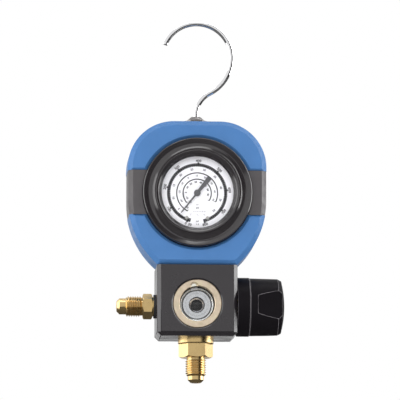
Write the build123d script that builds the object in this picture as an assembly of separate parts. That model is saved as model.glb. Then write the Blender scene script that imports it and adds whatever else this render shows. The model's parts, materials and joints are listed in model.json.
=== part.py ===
from build123d import *
import os
from math import atan2, cos, degrees, hypot, radians, sin, sqrt, tan

# A single-valve refrigerant manifold gauge, in millimetres. +Z is up, +X is the knob side and
# -Y is the face of the dial. The origin is under the crown of the hook, where it hangs on a rail.
# Each function below makes one sub-part, and the table at the end writes one STEP file for each.

# Hook: round wire with a shepherd's crook, turning in a collar on top of the shell
COLLAR_BARREL_R = 3.9
COLLAR_FLANGE_R = 5.4
COLLAR_HEX = 11.0
RETAINER_R = 3.6
HOOK_FOOT = 7.6  # how far the stem reaches into the shell
WIRE_R = 1.5
CROOK_R = 18.75  # centreline radius of the crown, from the right side over to the tip
CROOK_X = 0.6  # the crook's centre, off the stem's axis
SWEEP_R = 21.9  # centreline radius of the lower right quarter
NECK_R = 14.0  # centreline radius of the reverse bend above the stem
TIP_ANGLE = 158.8
CROOK_Z = WIRE_R - CROOK_R

# Heights, down from the origin
GAUGE_Z = CROOK_Z - 76.2
SHELL_HALF_H = 39.0
SHELL_HALF_W = 37.3
PORT_Z = GAUGE_Z - 60.05  # the valve, side port and sight glass share this level
SHELL_TOP_Z = GAUGE_Z + SHELL_HALF_H
BLOCK_TOP_Z = GAUGE_Z - SHELL_HALF_H
BLOCK_BOTTOM_Z = PORT_Z - 17.2

# Shell: black carrier inside two blue guards
CORNER_R = 25.0
FLANK_R = 46.5
FLANK_TOP = -3.8  # where the sides start to draw in, from the gauge's axis
SHELL_FRONT = 16.0  # distances towards the front are along -Y
SHELL_BACK = -14.0
BEVEL = 2.6  # front rim
BACK_BEVEL = 5.0
WALL_TURN = 2 - sqrt(2)  # how much a 45 degree bevel shrinks for each millimetre that its wall is offset
SKIN = 2.2
BAND_HALF_H = 12.0
BAND_INSET = 0.15
BAND_LIP = 1.2
BACK_INSET = 8.0
COVER_BACK = -13.4
COVER_T = 2.4
COVER_SEAT = -12.2  # where the screw heads bear
COVER_SCREWS = [(21.5, 22.0), (-21.5, 22.0), (20.2, -21.8), (-20.2, -21.8)]
COVER_SCREW_R = 1.45
COVER_HEAD_R = 2.7
CARRIER_SCREWS_X = (-14.0, 14.0)
CARRIER_SCREW_R = 1.55
CARRIER_HEAD_R = 3.0
SOCKET_HOLE_R = 9.0  # in the lower guard, round the gauge's stem
BEZEL_GAP = 0.3
HOLE_LEAD = 1.6  # chamfer round the hole for the bezel

# Gauge
CASE_R = 27.6
CASE_WALL = 1.3
CASE_BACK = -10.0
CASE_FRONT = 13.0
BEZEL_R = 29.4
WINDOW_R = 19.3
LENS_R = 23.0
LENS_BACK = 14.9
LENS_T = 1.5
DIAL_R = 24.0
DIAL_FRONT = 12.6
DIAL_T = 0.4
POINTER_BACK = 13.3
POINTER_T = 0.5
POINTER_TIP = 14.1
POINTER_TAIL = 10.6
POINTER_REST = 38.8  # degrees clockwise from straight down, as stored
DIAL_SCREW_R = 0.7

# Movement behind the dial: a toothed sector drives the pinion on the pointer's arbor
MODULE = 0.2
PINION_TEETH = 12
SECTOR_RATIO = 8
SECTOR_TEETH = PINION_TEETH * SECTOR_RATIO
PINION_PITCH_R = MODULE * PINION_TEETH / 2
SECTOR_PITCH_R = MODULE * SECTOR_TEETH / 2
SECTOR_Z = -(PINION_PITCH_R + SECTOR_PITCH_R)
ADDENDUM = 0.16
DEDENDUM = 0.24
TOOTH_W = 0.23
FRONT_PLATE = (9.6, 10.4)
SECTOR_LAYER = (7.6, 8.4)
LINK_LAYER = (6.5, 7.1)
REAR_PLATE = (4.6, 5.4)
SPRING_LAYER = (8.85, 9.3)
SPRING_START_R = 1.6
SPRING_PITCH = 0.6
SPRING_HALF_TURNS = 7
ARBOR_R = 0.5
PIVOT_R = 0.5
PIVOT_GAP = 0.04
TAIL_R = 4.5
TAIL_ANGLE = 17.6
TUBE_R = 17.0
TUBE_WIDTH = 2.4
TUBE_DEPTH = 7.0
TUBE_START = 252.0
TUBE_END = -12.0
TIP_BLOCK = (16.6, -3.5)
PILLARS = [(-8.5, -6.0), (8.6, -14.2)]
PLATE_CORNERS = (-10.5, 10.6, 3.5)
FRONT_PLATE_FOOT = -16.5
REAR_PLATE_FOOT = -19.5
MOVEMENT_SCREWS = [(-3.4, -17.6), (3.4, -17.6)]
MOVEMENT_SCREW_R = 1.0
TAIL_PIN_R = 0.45
DIAL_SCREWS = [(-5.6, -13.4), (5.6, -13.4)]

# Manifold block
BLOCK_HALF_W = 21.6
BLOCK_HALF_D = 16.0
BLOCK_BEVEL = 2.1
NUT_R = 13.2
NUT_HOLE_R = 9.5
NUT_RECESS = 0.4
NUT_T = 4.0
NOTCH_R = 2.3
NOTCH_ANGLE = 101.0
CHAMBER_FLOOR = 6.4
SIGHT_HOLE_R = 4.0

# Flare ports: 7/16-20 UNF male threads, drawn at their major diameter
THREAD_R = 5.556
NOSE_R = 4.35
FLARE_TIP_R = 2.8
PORT_BORE_R = 2.3
SIDE_HEX = 12.0
SIDE_HEX_T = 5.2
SIDE_SHOULDER_R = 5.3
SIDE_SHOULDER_T = 1.9
SIDE_THREAD = (9.2, 3.3)  # lengths of thread and nose
BOTTOM_HEX = 16.0
BOTTOM_HEX_T = 7.2
BOTTOM_FLANGE_R = 9.6
BOTTOM_FLANGE_T = 3.2
BOTTOM_THREAD = (10.0, 2.0)
STUB_R = 4.9
BOTTOM_STUB_R = 6.0

# Valve
STEM_R = 3.0
RUNNING_GAP = 0.05
PISTON_R = 4.0
PISTON_TIP_X = 5.2
BONNET_R = 7.0
KNOB_X = 21.9
KNOB_SKIRT = 6.5
KNOB_END_X = 45.8
KNOB_BASE_R = 15.85
KNOB_END_R = 15.25
KNOB_RIM_R = 14.2
KNOB_FLOOR_X = KNOB_END_X - 4.2  # where the knob's screw bears
KNOB_BORE_X = 31.0
KNOB_SCREW_HEAD_R = 3.0
GRIPS = 3
GRIP_START = (14.7, 32.7)  # radius and height where a flat finger grip begins
GRIP_END_R = 12.9
CAP_R = 12.8
CAP_RISE = 1.6


def lathe(*profile):
    """Turns a closed profile of (radius, height) points and curves about Z."""
    return revolve(make_face(Plane.XZ * closed(profile)), Axis.Z)


def closed(profile):
    """One wire through points and curves; a curve is a function of its two ends."""
    edges, last = [], profile[0]
    items = list(profile[1:]) + [profile[0]]
    bend = None
    for item in items:
        if callable(item):
            bend = item
            continue
        edges.append(bend(last, item) if bend else Line(last, item))
        bend, last = None, item
    return Curve() + edges


def arc(radius):
    return lambda a, b: RadiusArc(a, b, radius)


def ring(outer, inner, low, high):
    return lathe((inner, low), (outer, low), (outer, high), (inner, high))


def rod(radius, low, high):
    return Pos(0, 0, low) * Cylinder(radius, high - low, align=(Align.CENTER, Align.CENTER, Align.MIN))


def hexagon(flats, low, high, chamfer_at=None):
    """A hexagonal prism on Z with its corners turned off at the heights in chamfer_at."""
    prism = Pos(0, 0, low) * extrude(RegularPolygon(flats / 2, 6, major_radius=False), high - low)
    corner = flats / sqrt(3)
    drop = (corner - flats / 2) * tan(radians(30))
    for height in chamfer_at or ():
        inward = 1 if height == low else -1
        slope_end = height + inward * (drop + tan(radians(30)))
        far = height + inward * 30
        keep = lathe((0, height), (flats / 2, height), (corner + 1, slope_end), (corner + 1, far), (0, far))
        prism = prism & keep
    return prism


def drilling(start, end, radius):
    a, b = Vector(*start), Vector(*end)
    return Plane(origin=a, z_dir=b - a) * rod(radius, 0, (b - a).length)


def to_front(shape, x=0.0, z=GAUGE_Z):
    """Stands a shape made on Z so that its height runs towards the front, along -Y."""
    return Pos(x, 0, z) * Rot(90, 0, 0) * shape


def to_left(shape):
    return Pos(0, 0, PORT_Z) * Rot(0, -90, 0) * shape


def to_right(shape):
    return Pos(0, 0, PORT_Z) * Rot(0, 90, 0) * shape


def downward(shape):
    return Rot(180, 0, 0) * shape


# ---------------------------------------------------------------- hook


def hook():
    neck_z = CROOK_Z - sqrt((SWEEP_R + NECK_R) ** 2 - (NECK_R - sweep_x()) ** 2)
    sweep_start = (sweep_x() + (NECK_R - sweep_x()) * SWEEP_R / (SWEEP_R + NECK_R),
                   CROOK_Z + (neck_z - CROOK_Z) * SWEEP_R / (SWEEP_R + NECK_R))
    start_angle = degrees(atan2(sweep_start[1] - CROOK_Z, sweep_start[0] - sweep_x()))
    turn = start_angle + 90
    stem = Line((0, SHELL_TOP_Z - HOOK_FOOT), (0, neck_z))
    neck = CenterArc((NECK_R, neck_z), NECK_R, 180, -(90 - turn))
    sweep_curve = CenterArc((sweep_x(), CROOK_Z), SWEEP_R, start_angle, -start_angle)
    crown = CenterArc((CROOK_X, CROOK_Z), CROOK_R, 0, TIP_ANGLE)
    path = Plane.XZ * (Curve() + [stem, neck, sweep_curve, crown])
    foot = Pos(0, 0, SHELL_TOP_Z - HOOK_FOOT)
    return sweep(foot * Circle(WIRE_R), path=path)


def sweep_x():
    return CROOK_X + CROOK_R - SWEEP_R


def hook_collar():
    bore = WIRE_R + RUNNING_GAP
    turned = lathe((bore, -6), (COLLAR_BARREL_R, -6), (COLLAR_BARREL_R, 0), (COLLAR_FLANGE_R, 0),
                   (COLLAR_FLANGE_R, 1.6), (COLLAR_FLANGE_R - 0.5, 2.3), (2.7, 4.3), (2.1, 4.3), (bore, 3.6))
    body = turned + hexagon(COLLAR_HEX, 0, 2.2)
    return Pos(0, 0, SHELL_TOP_Z) * (body - rod(bore, -7, 5))


def hook_retainer():
    return Pos(0, 0, SHELL_TOP_Z) * ring(RETAINER_R, WIRE_R, -7.3, -6.15)


# ---------------------------------------------------------------- shell


def outline(inset=0.0):
    """The shell's shape from the front, about the gauge's axis."""
    foot_z = -SHELL_HALF_H
    foot_x = SHELL_HALF_W - FLANK_R + sqrt(FLANK_R**2 - (foot_z - FLANK_TOP) ** 2)
    top_x, top_z = SHELL_HALF_W - CORNER_R, SHELL_HALF_H - CORNER_R
    edges = [Line((-top_x, SHELL_HALF_H), (top_x, SHELL_HALF_H)), Line((foot_x, foot_z), (-foot_x, foot_z))]
    for side in (1, -1):
        edges.append(RadiusArc((side * top_x, SHELL_HALF_H), (side * SHELL_HALF_W, top_z), side * CORNER_R))
        edges.append(Line((side * SHELL_HALF_W, top_z), (side * SHELL_HALF_W, FLANK_TOP)))
        edges.append(RadiusArc((side * SHELL_HALF_W, FLANK_TOP), (side * foot_x, foot_z), side * FLANK_R))
    face = make_face(Curve() + edges)
    return offset(face, amount=-inset) if inset else face


def slab(inset):
    """The shell's solid shape, offset inwards, with its front and back rims bevelled."""
    back, front = SHELL_BACK + inset, SHELL_FRONT - inset
    body = Pos(0, 0, back) * extrude(outline(inset), front - back)
    body = chamfer(body.edges().group_by(Axis.Z)[-1], BEVEL - inset * WALL_TURN)
    return chamfer(body.edges().group_by(Axis.Z)[0], BACK_BEVEL - inset * WALL_TURN)


def band(half_height):
    return Box(2 * SHELL_HALF_W + 4, 2 * half_height, 60)


def skin():
    """Both guards in one piece, before the side bands are cut out."""
    body = slab(0) - slab(SKIN)
    hole, wide, past = BEZEL_R + BEZEL_GAP, BEZEL_R + BEZEL_GAP + HOLE_LEAD, SHELL_FRONT + 4
    body -= lathe((0, 10), (hole, 10), (hole, SHELL_FRONT - HOLE_LEAD), (wide, SHELL_FRONT), (wide, past),
                  (0, past))
    body -= Pos(0, 0, SHELL_BACK - 1) * extrude(outline(BACK_INSET), SKIN + 2)
    return body


def band_cutter():
    """The gap between the guards, wider at the surface so that their edges are chamfered."""
    low, high = BAND_HALF_H, BAND_HALF_H + BAND_LIP
    cut = band(low)
    for face, depth in ((SHELL_FRONT, 1), (SHELL_BACK, -1)):
        inside = face - depth * BAND_LIP
        wedge = Polyline((-high - 1, face + depth), (high + 1, face + depth), (low, inside), (-low, inside),
                         close=True)
        cut += extrude(Plane.YZ * make_face(wedge), 2 * SHELL_HALF_W, both=True)
    return cut


def upright(radius, height, y, x=0.0):
    """A drilling along the shell's height, centred at (x, y) as seen from the front."""
    return Pos(x, y, 0) * Rot(90, 0, 0) * Cylinder(radius, height)


def guards():
    body = skin() - band_cutter()
    body -= upright(SOCKET_HOLE_R, 12, -SHELL_HALF_H)
    body -= upright(COLLAR_BARREL_R + 0.1, 12, SHELL_HALF_H)
    for x in CARRIER_SCREWS_X:
        body -= upright(CARRIER_SCREW_R + 0.55, 12, -SHELL_HALF_H, x)
    return sorted(body.solids(), key=lambda s: -s.center().Y)


def guard_upper():
    return to_front(guards()[0])


def guard_lower():
    return to_front(guards()[-1])


def carrier():
    """Black inner case: a cup for the gauge, with the two side bands flush between the guards."""
    body = slab(SKIN) + (slab(BAND_INSET) & band(BAND_HALF_H))
    bore, floor, step = CASE_R + 0.2, CASE_BACK - 0.1, CASE_FRONT - 1
    wide, past = BEZEL_R + BEZEL_GAP, SHELL_FRONT + 4
    body -= lathe((0, floor), (bore, floor), (bore, step), (wide, step), (wide, past), (0, past))
    body -= Pos(0, 0, SHELL_BACK - 1) * extrude(outline(BACK_INSET), COVER_BACK + COVER_T - SHELL_BACK + 1)
    body -= upright(COLLAR_BARREL_R, 9.4, SHELL_HALF_H)
    body -= Pos(0, SHELL_HALF_H - 7.2, 0) * Box(12, 6, 12)
    body -= Pos(0, -33, 0) * Box(16, 16, 16)
    for x in CARRIER_SCREWS_X:
        body -= upright(CARRIER_SCREW_R + 0.05, 14, -SHELL_HALF_H, x)
        body -= upright(CARRIER_HEAD_R + 0.4, 12, -SHELL_HALF_H + 10.5, x)
    for x, y in COVER_SCREWS:
        body -= Pos(x, y, 0) * rod(COVER_SCREW_R + 0.05, SHELL_BACK, COVER_SEAT + 8)
    return to_front(body)


def back_cover():
    body = Pos(0, 0, COVER_BACK) * extrude(outline(BACK_INSET + 0.2), COVER_T)
    body = chamfer(body.edges().group_by(Axis.Z)[0], 0.5)
    for x, y in COVER_SCREWS:
        body -= Pos(x, y, 0) * rod(COVER_SCREW_R + 0.15, COVER_BACK - 1, COVER_BACK + 4)
        body -= Pos(x, y, 0) * rod(COVER_HEAD_R + 0.4, COVER_BACK - 1, COVER_SEAT)
    return to_front(body)


def cover_screws():
    head = lathe((0, 0), (COVER_HEAD_R, 0), (COVER_HEAD_R, -0.6), (COVER_HEAD_R - 0.8, -1.5), (0, -1.6))
    screw = head + rod(COVER_SCREW_R, 0, 7)
    return [to_front(Pos(x, y, COVER_SEAT) * screw) for x, y in COVER_SCREWS]


def carrier_screws():
    screw = rod(CARRIER_SCREW_R, -12, 0) + rod(CARRIER_HEAD_R, 0, 2.0)
    screw -= Pos(0, 0, 1.2) * extrude(RegularPolygon(1.3, 6), 2)
    return [Pos(x, 0, BLOCK_TOP_Z + 4.5) * screw for x in CARRIER_SCREWS_X]


# ---------------------------------------------------------------- gauge


def gauge_case():
    lip, inside, step = CASE_R - 0.8, CASE_R - CASE_WALL, CASE_FRONT - 1
    body = lathe((0, CASE_BACK), (CASE_R - 1.5, CASE_BACK), (CASE_R, CASE_BACK + 1.5), (CASE_R, step),
                 (lip, step), (lip, CASE_FRONT), (inside, CASE_FRONT), (inside, CASE_BACK + CASE_WALL),
                 (0, CASE_BACK + CASE_WALL))
    body -= Pos(0, -CASE_R, 0) * Rot(90, 0, 0) * Cylinder(5.3, 8)
    return to_front(body)


def bezel():
    seat = CASE_R - 0.75
    body = lathe((seat, CASE_FRONT - 0.95), (BEZEL_R, CASE_FRONT - 0.95), (BEZEL_R, 18.2),
                 (BEZEL_R - 0.5, 18.8), (26.4, 17.2), arc(-5.2), (22.4, 19.8), arc(-3.4), (20.3, 18.2),
                 (WINDOW_R, 17.0), (WINDOW_R, LENS_BACK + LENS_T), (LENS_R + 0.3, LENS_BACK + LENS_T),
                 (LENS_R + 0.3, CASE_FRONT + 0.05), (seat, CASE_FRONT + 0.05))
    return to_front(body)


def lens():
    return to_front(rod(LENS_R, LENS_BACK, LENS_BACK + LENS_T))


def lens_gasket():
    return to_front(ring(LENS_R, LENS_R - 2.2, DIAL_FRONT, LENS_BACK))


def dial():
    body = rod(DIAL_R, DIAL_FRONT - DIAL_T, DIAL_FRONT) - rod(1.2, DIAL_FRONT - 1, DIAL_FRONT + 1)
    for x, y in DIAL_SCREWS:
        body -= Pos(x, y, DIAL_FRONT) * Cylinder(DIAL_SCREW_R + 0.05, 3)
    return to_front(body)


def dial_screws():
    head = lathe((0, 0), (1.1, 0), (0.9, 0.35), (0, 0.45))
    screw = rod(DIAL_SCREW_R, FRONT_PLATE[1] - 0.6, DIAL_FRONT) + Pos(0, 0, DIAL_FRONT) * head
    return [to_front(Pos(x, y, 0) * screw) for x, y in DIAL_SCREWS]


def pointer():
    """A tapering blade with a broad tail, pressed on the arbor."""
    shoulder = -POINTER_TIP + 0.6
    blade = Polyline((-0.5, 0), (-0.3, shoulder), (0, -POINTER_TIP), (0.3, shoulder), (0.5, 0), close=True)
    tail = Polyline((-0.75, 0), (-1.3, POINTER_TAIL), (1.3, POINTER_TAIL), (0.75, 0), close=True)
    flat = make_face(blade) + make_face(tail) + Circle(1.8)
    body = Pos(0, 0, POINTER_BACK) * extrude(flat, POINTER_T) - rod(ARBOR_R, 10, 20)
    return to_front(Rot(0, 0, -POINTER_REST) * body)


def tooth(base_r, tip_r, angle):
    """One straight-flanked tooth, as a face that reaches inside the rim it stands on."""
    root, tip = TOOTH_W / 2 + 0.05, TOOTH_W / 2 - 0.06
    shape = Polyline((-root, base_r), (-tip, tip_r), (tip, tip_r), (root, base_r), close=True)
    return Rot(0, 0, angle) * make_face(shape)


def pinion():
    """Arbor and pinion in one: teeth at the sector's level, a journal in each plate."""
    root = PINION_PITCH_R - DEDENDUM
    flat = Circle(root)
    for i in range(PINION_TEETH):
        flat += tooth(root - 0.1, PINION_PITCH_R + ADDENDUM, 180 + i * 360 / PINION_TEETH)
    leaves = Pos(0, 0, SECTOR_LAYER[0] - 0.6) * extrude(flat, SPRING_LAYER[0] - 0.05 - SECTOR_LAYER[0] + 0.6)
    arbor = rod(ARBOR_R, REAR_PLATE[0] + 0.2, POINTER_BACK + POINTER_T)
    collet = rod(SPRING_START_R - 0.25, 8.7, SPRING_LAYER[1])
    return to_front(leaves + arbor + collet)


def spring_stud():
    """Pin under the front plate that holds the outer end of the hair spring."""
    end = SPRING_START_R + SPRING_PITCH / 4 + (SPRING_HALF_TURNS - 1) * SPRING_PITCH / 2
    return to_front(Pos(-end, -0.3, 0) * rod(0.3, SPRING_LAYER[0], FRONT_PLATE[0]))


def hair_spring():
    """Flat spiral: half turns of growing radius on two alternating centres."""
    strip, flat = 0.12, None
    for i in range(SPRING_HALF_TURNS):
        centre = (SPRING_PITCH / 4) * (1 if i % 2 else -1)
        radius = SPRING_START_R + i * SPRING_PITCH / 2
        side = 1 if i % 2 == 0 else -1
        half = Circle(radius + strip / 2) - Circle(radius - strip / 2)
        half &= Pos(0, side * 10, 0) * Rectangle(40, 20)
        half = Pos(centre, 0, 0) * half
        flat = half if flat is None else flat + half
    return to_front(Pos(0, 0, SPRING_LAYER[0]) * extrude(flat, SPRING_LAYER[1] - SPRING_LAYER[0]))


def plate(layer, y0):
    x0, x1, y1 = PLATE_CORNERS
    flat = Pos((x0 + x1) / 2, (y0 + y1) / 2) * RectangleRounded(x1 - x0, y1 - y0, 2.5)
    body = Pos(0, 0, layer[0]) * extrude(flat, layer[1] - layer[0])
    body -= rod(ARBOR_R + PIVOT_GAP, 0, 20)
    body -= Pos(0, SECTOR_Z, 0) * rod(PIVOT_R + PIVOT_GAP, 0, 20)
    return body


def front_plate():
    body = plate(FRONT_PLATE, FRONT_PLATE_FOOT)
    for x, y in DIAL_SCREWS:
        body -= Pos(x, y, 10) * Cylinder(DIAL_SCREW_R, 3)
    return to_front(body)


def rear_plate():
    body = plate(REAR_PLATE, REAR_PLATE_FOOT)
    for x, y in MOVEMENT_SCREWS:
        body -= Pos(x, y, 5) * Cylinder(MOVEMENT_SCREW_R, 3)
    return to_front(body)


def plate_pillars():
    return [to_front(Pos(x, y, 0) * rod(1.1, REAR_PLATE[1], FRONT_PLATE[0])) for x, y in PILLARS]


def movement_screws():
    screw = rod(MOVEMENT_SCREW_R, 1.0, REAR_PLATE[1]) + rod(1.7, REAR_PLATE[1], REAR_PLATE[1] + 0.7)
    return [to_front(Pos(x, y, 0) * screw) for x, y in MOVEMENT_SCREWS]


def tail_pin():
    return (-TAIL_R * sin(radians(TAIL_ANGLE)), SECTOR_Z - TAIL_R * cos(radians(TAIL_ANGLE)))


def sector_gear():
    """Toothed sector on its arbor, with a tail that the tube's link pulls."""
    step = 360 / SECTOR_TEETH
    root = SECTOR_PITCH_R - DEDENDUM
    first, last = -2, 11
    rim = Circle(root) - Circle(root - 1.4)
    wedge = [(0, 0)]
    for angle in (first * step - 1, (first + last) * step / 2, last * step + 3):
        wedge.append((14 * sin(radians(angle)), 14 * cos(radians(angle))))
    fan = make_face(Polyline(*wedge, close=True))
    flat = (rim & fan)
    for i in range(first, last + 1):
        flat += tooth(root - 0.1, SECTOR_PITCH_R + ADDENDUM, -(i + 0.5) * step)
    for angle in (first * step + 1, (first + last + 1) * step / 2, last * step + 1):
        flat += Rot(0, 0, -angle) * (Pos(0, (root - 0.7) / 2) * Rectangle(1.0, root - 0.7))
    flat += Circle(1.6)
    flat += Rot(0, 0, -TAIL_ANGLE) * (Pos(0, -TAIL_R / 2) * Rectangle(1.6, TAIL_R))
    tail = tail_pin()
    flat += Pos(tail[0], tail[1] - SECTOR_Z) * Circle(1.1)
    body = Pos(0, 0, SECTOR_LAYER[0]) * extrude(flat, SECTOR_LAYER[1] - SECTOR_LAYER[0])
    body += rod(PIVOT_R, REAR_PLATE[0] + 0.2, FRONT_PLATE[1] - 0.1)
    body += Pos(tail[0], tail[1] - SECTOR_Z) * rod(TAIL_PIN_R, LINK_LAYER[0] - 0.3, SECTOR_LAYER[0])
    return to_front(Pos(0, SECTOR_Z, 0) * body)


def tube_link():
    """Flat link from the sector's tail towards the tube's tip."""
    ax, ay = tail_pin()
    bx, by = TIP_BLOCK
    length, angle = hypot(bx - ax, by - ay), degrees(atan2(by - ay, bx - ax))
    flat = Circle(1.0) + Pos(length, 0) * Circle(1.0) + Pos(length / 2, 0) * Rectangle(length, 1.0)
    flat -= Circle(TAIL_PIN_R + PIVOT_GAP)
    flat -= Pos(length, 0) * Circle(TAIL_PIN_R)
    body = Pos(0, 0, LINK_LAYER[0]) * extrude(flat, LINK_LAYER[1] - LINK_LAYER[0])
    return to_front(Pos(ax, ay, 0) * Rot(0, 0, angle) * body)


def bourdon_tube():
    """C-shaped tube of flattened section, from the socket round to the tip."""
    wall = 0.4
    inside = tube_shape(TUBE_WIDTH - 2 * wall, TUBE_DEPTH - 2 * wall)
    return to_front(tube_shape(TUBE_WIDTH, TUBE_DEPTH) - inside)


def tube_shape(width, depth):
    side, corner = width / 2, depth / 2 - width / 3
    half = [(-side, -corner), (-side / 2, -depth / 2), (side / 2, -depth / 2), (side, -corner)]
    points = half + [(-x, -z) for x, z in half]
    section = Polyline(*[(TUBE_R + x, z) for x, z in points], close=True)
    body = revolve(Plane.XZ * make_face(section), Axis.Z, TUBE_START - TUBE_END)
    return Rot(0, 0, TUBE_END) * body


def tube_tip():
    """Brass end piece, reaching forward to the link's level."""
    x, y = TIP_BLOCK
    body = Pos(x, y - 1.6, -1.0 + LINK_LAYER[0] / 2 - 0.9) * Box(3.4, 3.0, LINK_LAYER[0] + 3.4)
    cutter = Rot(0, 0, TUBE_END) * (Pos(TUBE_R, 5, 0) * Box(12, 10, 30))
    return to_front(body - cutter)


def gauge_socket():
    """Brass socket: carries the tube and movement, and screws into the block."""
    body = Pos(0, -18.9, 0) * Box(15, 9.8, 9.2)
    body -= tube_shape(TUBE_WIDTH, TUBE_DEPTH)
    for x, y in MOVEMENT_SCREWS:
        body -= Pos(x, y, 0) * rod(MOVEMENT_SCREW_R, 1.0, 5)
    body -= drilling((-4.9, -16.3, 0), (0, -22, 0), 0.8)
    turned = rod(5.0, 23.5, 29.4) + hexagon(12.0, 29.4, 36.4, chamfer_at=(29.4, 36.4)) + lathe(
        (0, 36.4), (4.9, 36.4), (4.9, 46.6), (4.2, 47.4), (0, 47.4))
    body += Rot(90, 0, 0) * turned
    body -= Rot(90, 0, 0) * rod(1.6, 20, 50)
    return to_front(body)


# ---------------------------------------------------------------- manifold block


def manifold_block():
    height = BLOCK_TOP_Z - BLOCK_BOTTOM_Z
    body = Pos(0, 0, BLOCK_BOTTOM_Z + height / 2) * Box(2 * BLOCK_HALF_W, 2 * BLOCK_HALF_D, height)
    top = body.edges().group_by(Axis.Z)[-1]
    body = chamfer([e for e in body.edges() if e not in top], BLOCK_BEVEL)
    deep = BLOCK_HALF_D
    shelf = deep - NUT_RECESS - NUT_T - 0.6
    chamber = lathe((0, CHAMBER_FLOOR), (NUT_HOLE_R, CHAMBER_FLOOR), (NUT_HOLE_R, shelf), (NUT_R, shelf),
                    (NUT_R, deep - 0.5), (NUT_R + 0.6, deep), (NUT_R + 0.6, 20), (0, 20))
    body -= to_front(chamber, z=PORT_Z)
    body -= to_front(rod(SIGHT_HOLE_R, -2.0, CHAMBER_FLOOR + 1), z=PORT_Z)
    body -= to_left(rod(STUB_R, BLOCK_HALF_W - 9, 30) + rod(PORT_BORE_R, -3, 15))
    body -= downward(Pos(0, 0, -BLOCK_BOTTOM_Z - 9.6) * rod(BOTTOM_STUB_R, 0, 20))
    body -= to_right(rod(2.0, 0, 6) + rod(PISTON_R + RUNNING_GAP, PISTON_TIP_X, 16) + rod(BONNET_R, 13, 30))
    body -= Pos(0, 0, BLOCK_TOP_Z) * (rod(4.9, -9.6, 1) + rod(1.8, -15, 0))
    body -= drilling((0, 0, BLOCK_BOTTOM_Z + 8), (8.5, 0, PORT_Z - 2), 1.6)
    for x in CARRIER_SCREWS_X:
        body -= Pos(x, 0, BLOCK_TOP_Z - 4) * Cylinder(CARRIER_SCREW_R, 8.4)
    return body


def sight_ring():
    """Brass ring nut that clamps the sight glass, with a half-round notch in its bore."""
    front = BLOCK_HALF_D - NUT_RECESS
    body = lathe((NUT_HOLE_R, front - NUT_T), (NUT_R - 0.05, front - NUT_T), (NUT_R - 0.05, front - 0.4),
                 (NUT_R - 0.45, front), (NUT_HOLE_R + 0.25, front), (NUT_HOLE_R, front - 0.25))
    x, y = NUT_HOLE_R * cos(radians(NOTCH_ANGLE)), NUT_HOLE_R * sin(radians(NOTCH_ANGLE))
    body -= Pos(x, y, front) * Cylinder(NOTCH_R, 2.6)
    return to_front(body, z=PORT_Z)


def sight_glass():
    front = BLOCK_HALF_D - NUT_RECESS - NUT_T
    body = lathe((0, front - 2.6), (NUT_HOLE_R - 0.1, front - 2.6), (NUT_HOLE_R - 0.1, front - 0.6),
                 (8.9, front - 0.6), (8.9, front + 1.0), (8.5, front + 1.4), (0, front + 1.4))
    return to_front(body, z=PORT_Z)


def sight_gasket():
    front = BLOCK_HALF_D - NUT_RECESS - NUT_T
    return to_front(ring(NUT_R - 0.1, 9.0, front - 0.55, front), z=PORT_Z)


def sight_cup():
    """Bright dished insert behind the glass, with the hole that shows the gallery."""
    high = BLOCK_HALF_D - NUT_RECESS - NUT_T - 2.65
    low, hole, edge = CHAMBER_FLOOR, SIGHT_HOLE_R - 0.3, NUT_HOLE_R - 0.6
    dish = high - 0.9
    body = lathe((hole, low), (edge, low), (edge, high), (edge - 1.1, high), (edge - 1.4, dish), (4.4, dish),
                 (hole, dish - 0.8))
    return to_front(body, z=PORT_Z)


def flare(low, thread_length, nose_length):
    """Thread, nose and 45 degree seat of a flare port, outward from low."""
    top = low + thread_length
    relief = THREAD_R - 0.7
    return lathe((0, low), (relief, low), (relief, low + 0.6), (THREAD_R, low + 1.3), (THREAD_R, top - 0.8),
                 (NOSE_R, top), (NOSE_R, top + nose_length), (FLARE_TIP_R, top + nose_length + 1.5),
                 (0, top + nose_length + 1.5))


def side_port():
    face = BLOCK_HALF_W
    hex_low, hex_high = face + SIDE_SHOULDER_T, face + SIDE_SHOULDER_T + SIDE_HEX_T
    body = rod(STUB_R - 0.02, face - 8.4, face) + rod(SIDE_SHOULDER_R, face, hex_low)
    body += hexagon(SIDE_HEX, hex_low, hex_high, chamfer_at=(hex_low, hex_high))
    body += flare(hex_high, *SIDE_THREAD)
    return to_left(body - rod(PORT_BORE_R, 0, 60))


def side_port_seal():
    return to_left(ring(SIDE_SHOULDER_R + 1.1, SIDE_SHOULDER_R, BLOCK_HALF_W, BLOCK_HALF_W + 1.2))


def bottom_port():
    face = -BLOCK_BOTTOM_Z
    hex_low, hex_high = face + BOTTOM_FLANGE_T, face + BOTTOM_FLANGE_T + BOTTOM_HEX_T
    flange = lathe((0, face), (BOTTOM_FLANGE_R, face), (BOTTOM_FLANGE_R, hex_low - 0.5),
                   (BOTTOM_FLANGE_R - 0.5, hex_low), (0, hex_low))
    body = rod(BOTTOM_STUB_R - 0.02, face - 9.0, face) + flange
    body += hexagon(BOTTOM_HEX, hex_low, hex_high, chamfer_at=(hex_high,))
    body += flare(hex_high, *BOTTOM_THREAD)
    return downward(body - rod(PORT_BORE_R, face - 10, face + 40))


def bottom_port_seal():
    face = -BLOCK_BOTTOM_Z
    return downward(ring(5.0, 2.4, face - 9.58, face - 9.02))


# ---------------------------------------------------------------- valve


def valve_bonnet():
    bore, barrel = STEM_R + RUNNING_GAP, BONNET_R - 0.02
    body = lathe((bore, 14), (6.2, 14), (barrel, 14.8), (barrel, BLOCK_HALF_W), (bore, BLOCK_HALF_W))
    body += hexagon(14.0, BLOCK_HALF_W, BLOCK_HALF_W + 4.4, chamfer_at=(BLOCK_HALF_W + 4.4,))
    body -= rod(bore, 10, 30) + rod(4.6, 13, 17)
    return to_right(body)


def stem_packing():
    return to_right(ring(4.58, STEM_R + RUNNING_GAP, 15.2, 16.98))


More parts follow.
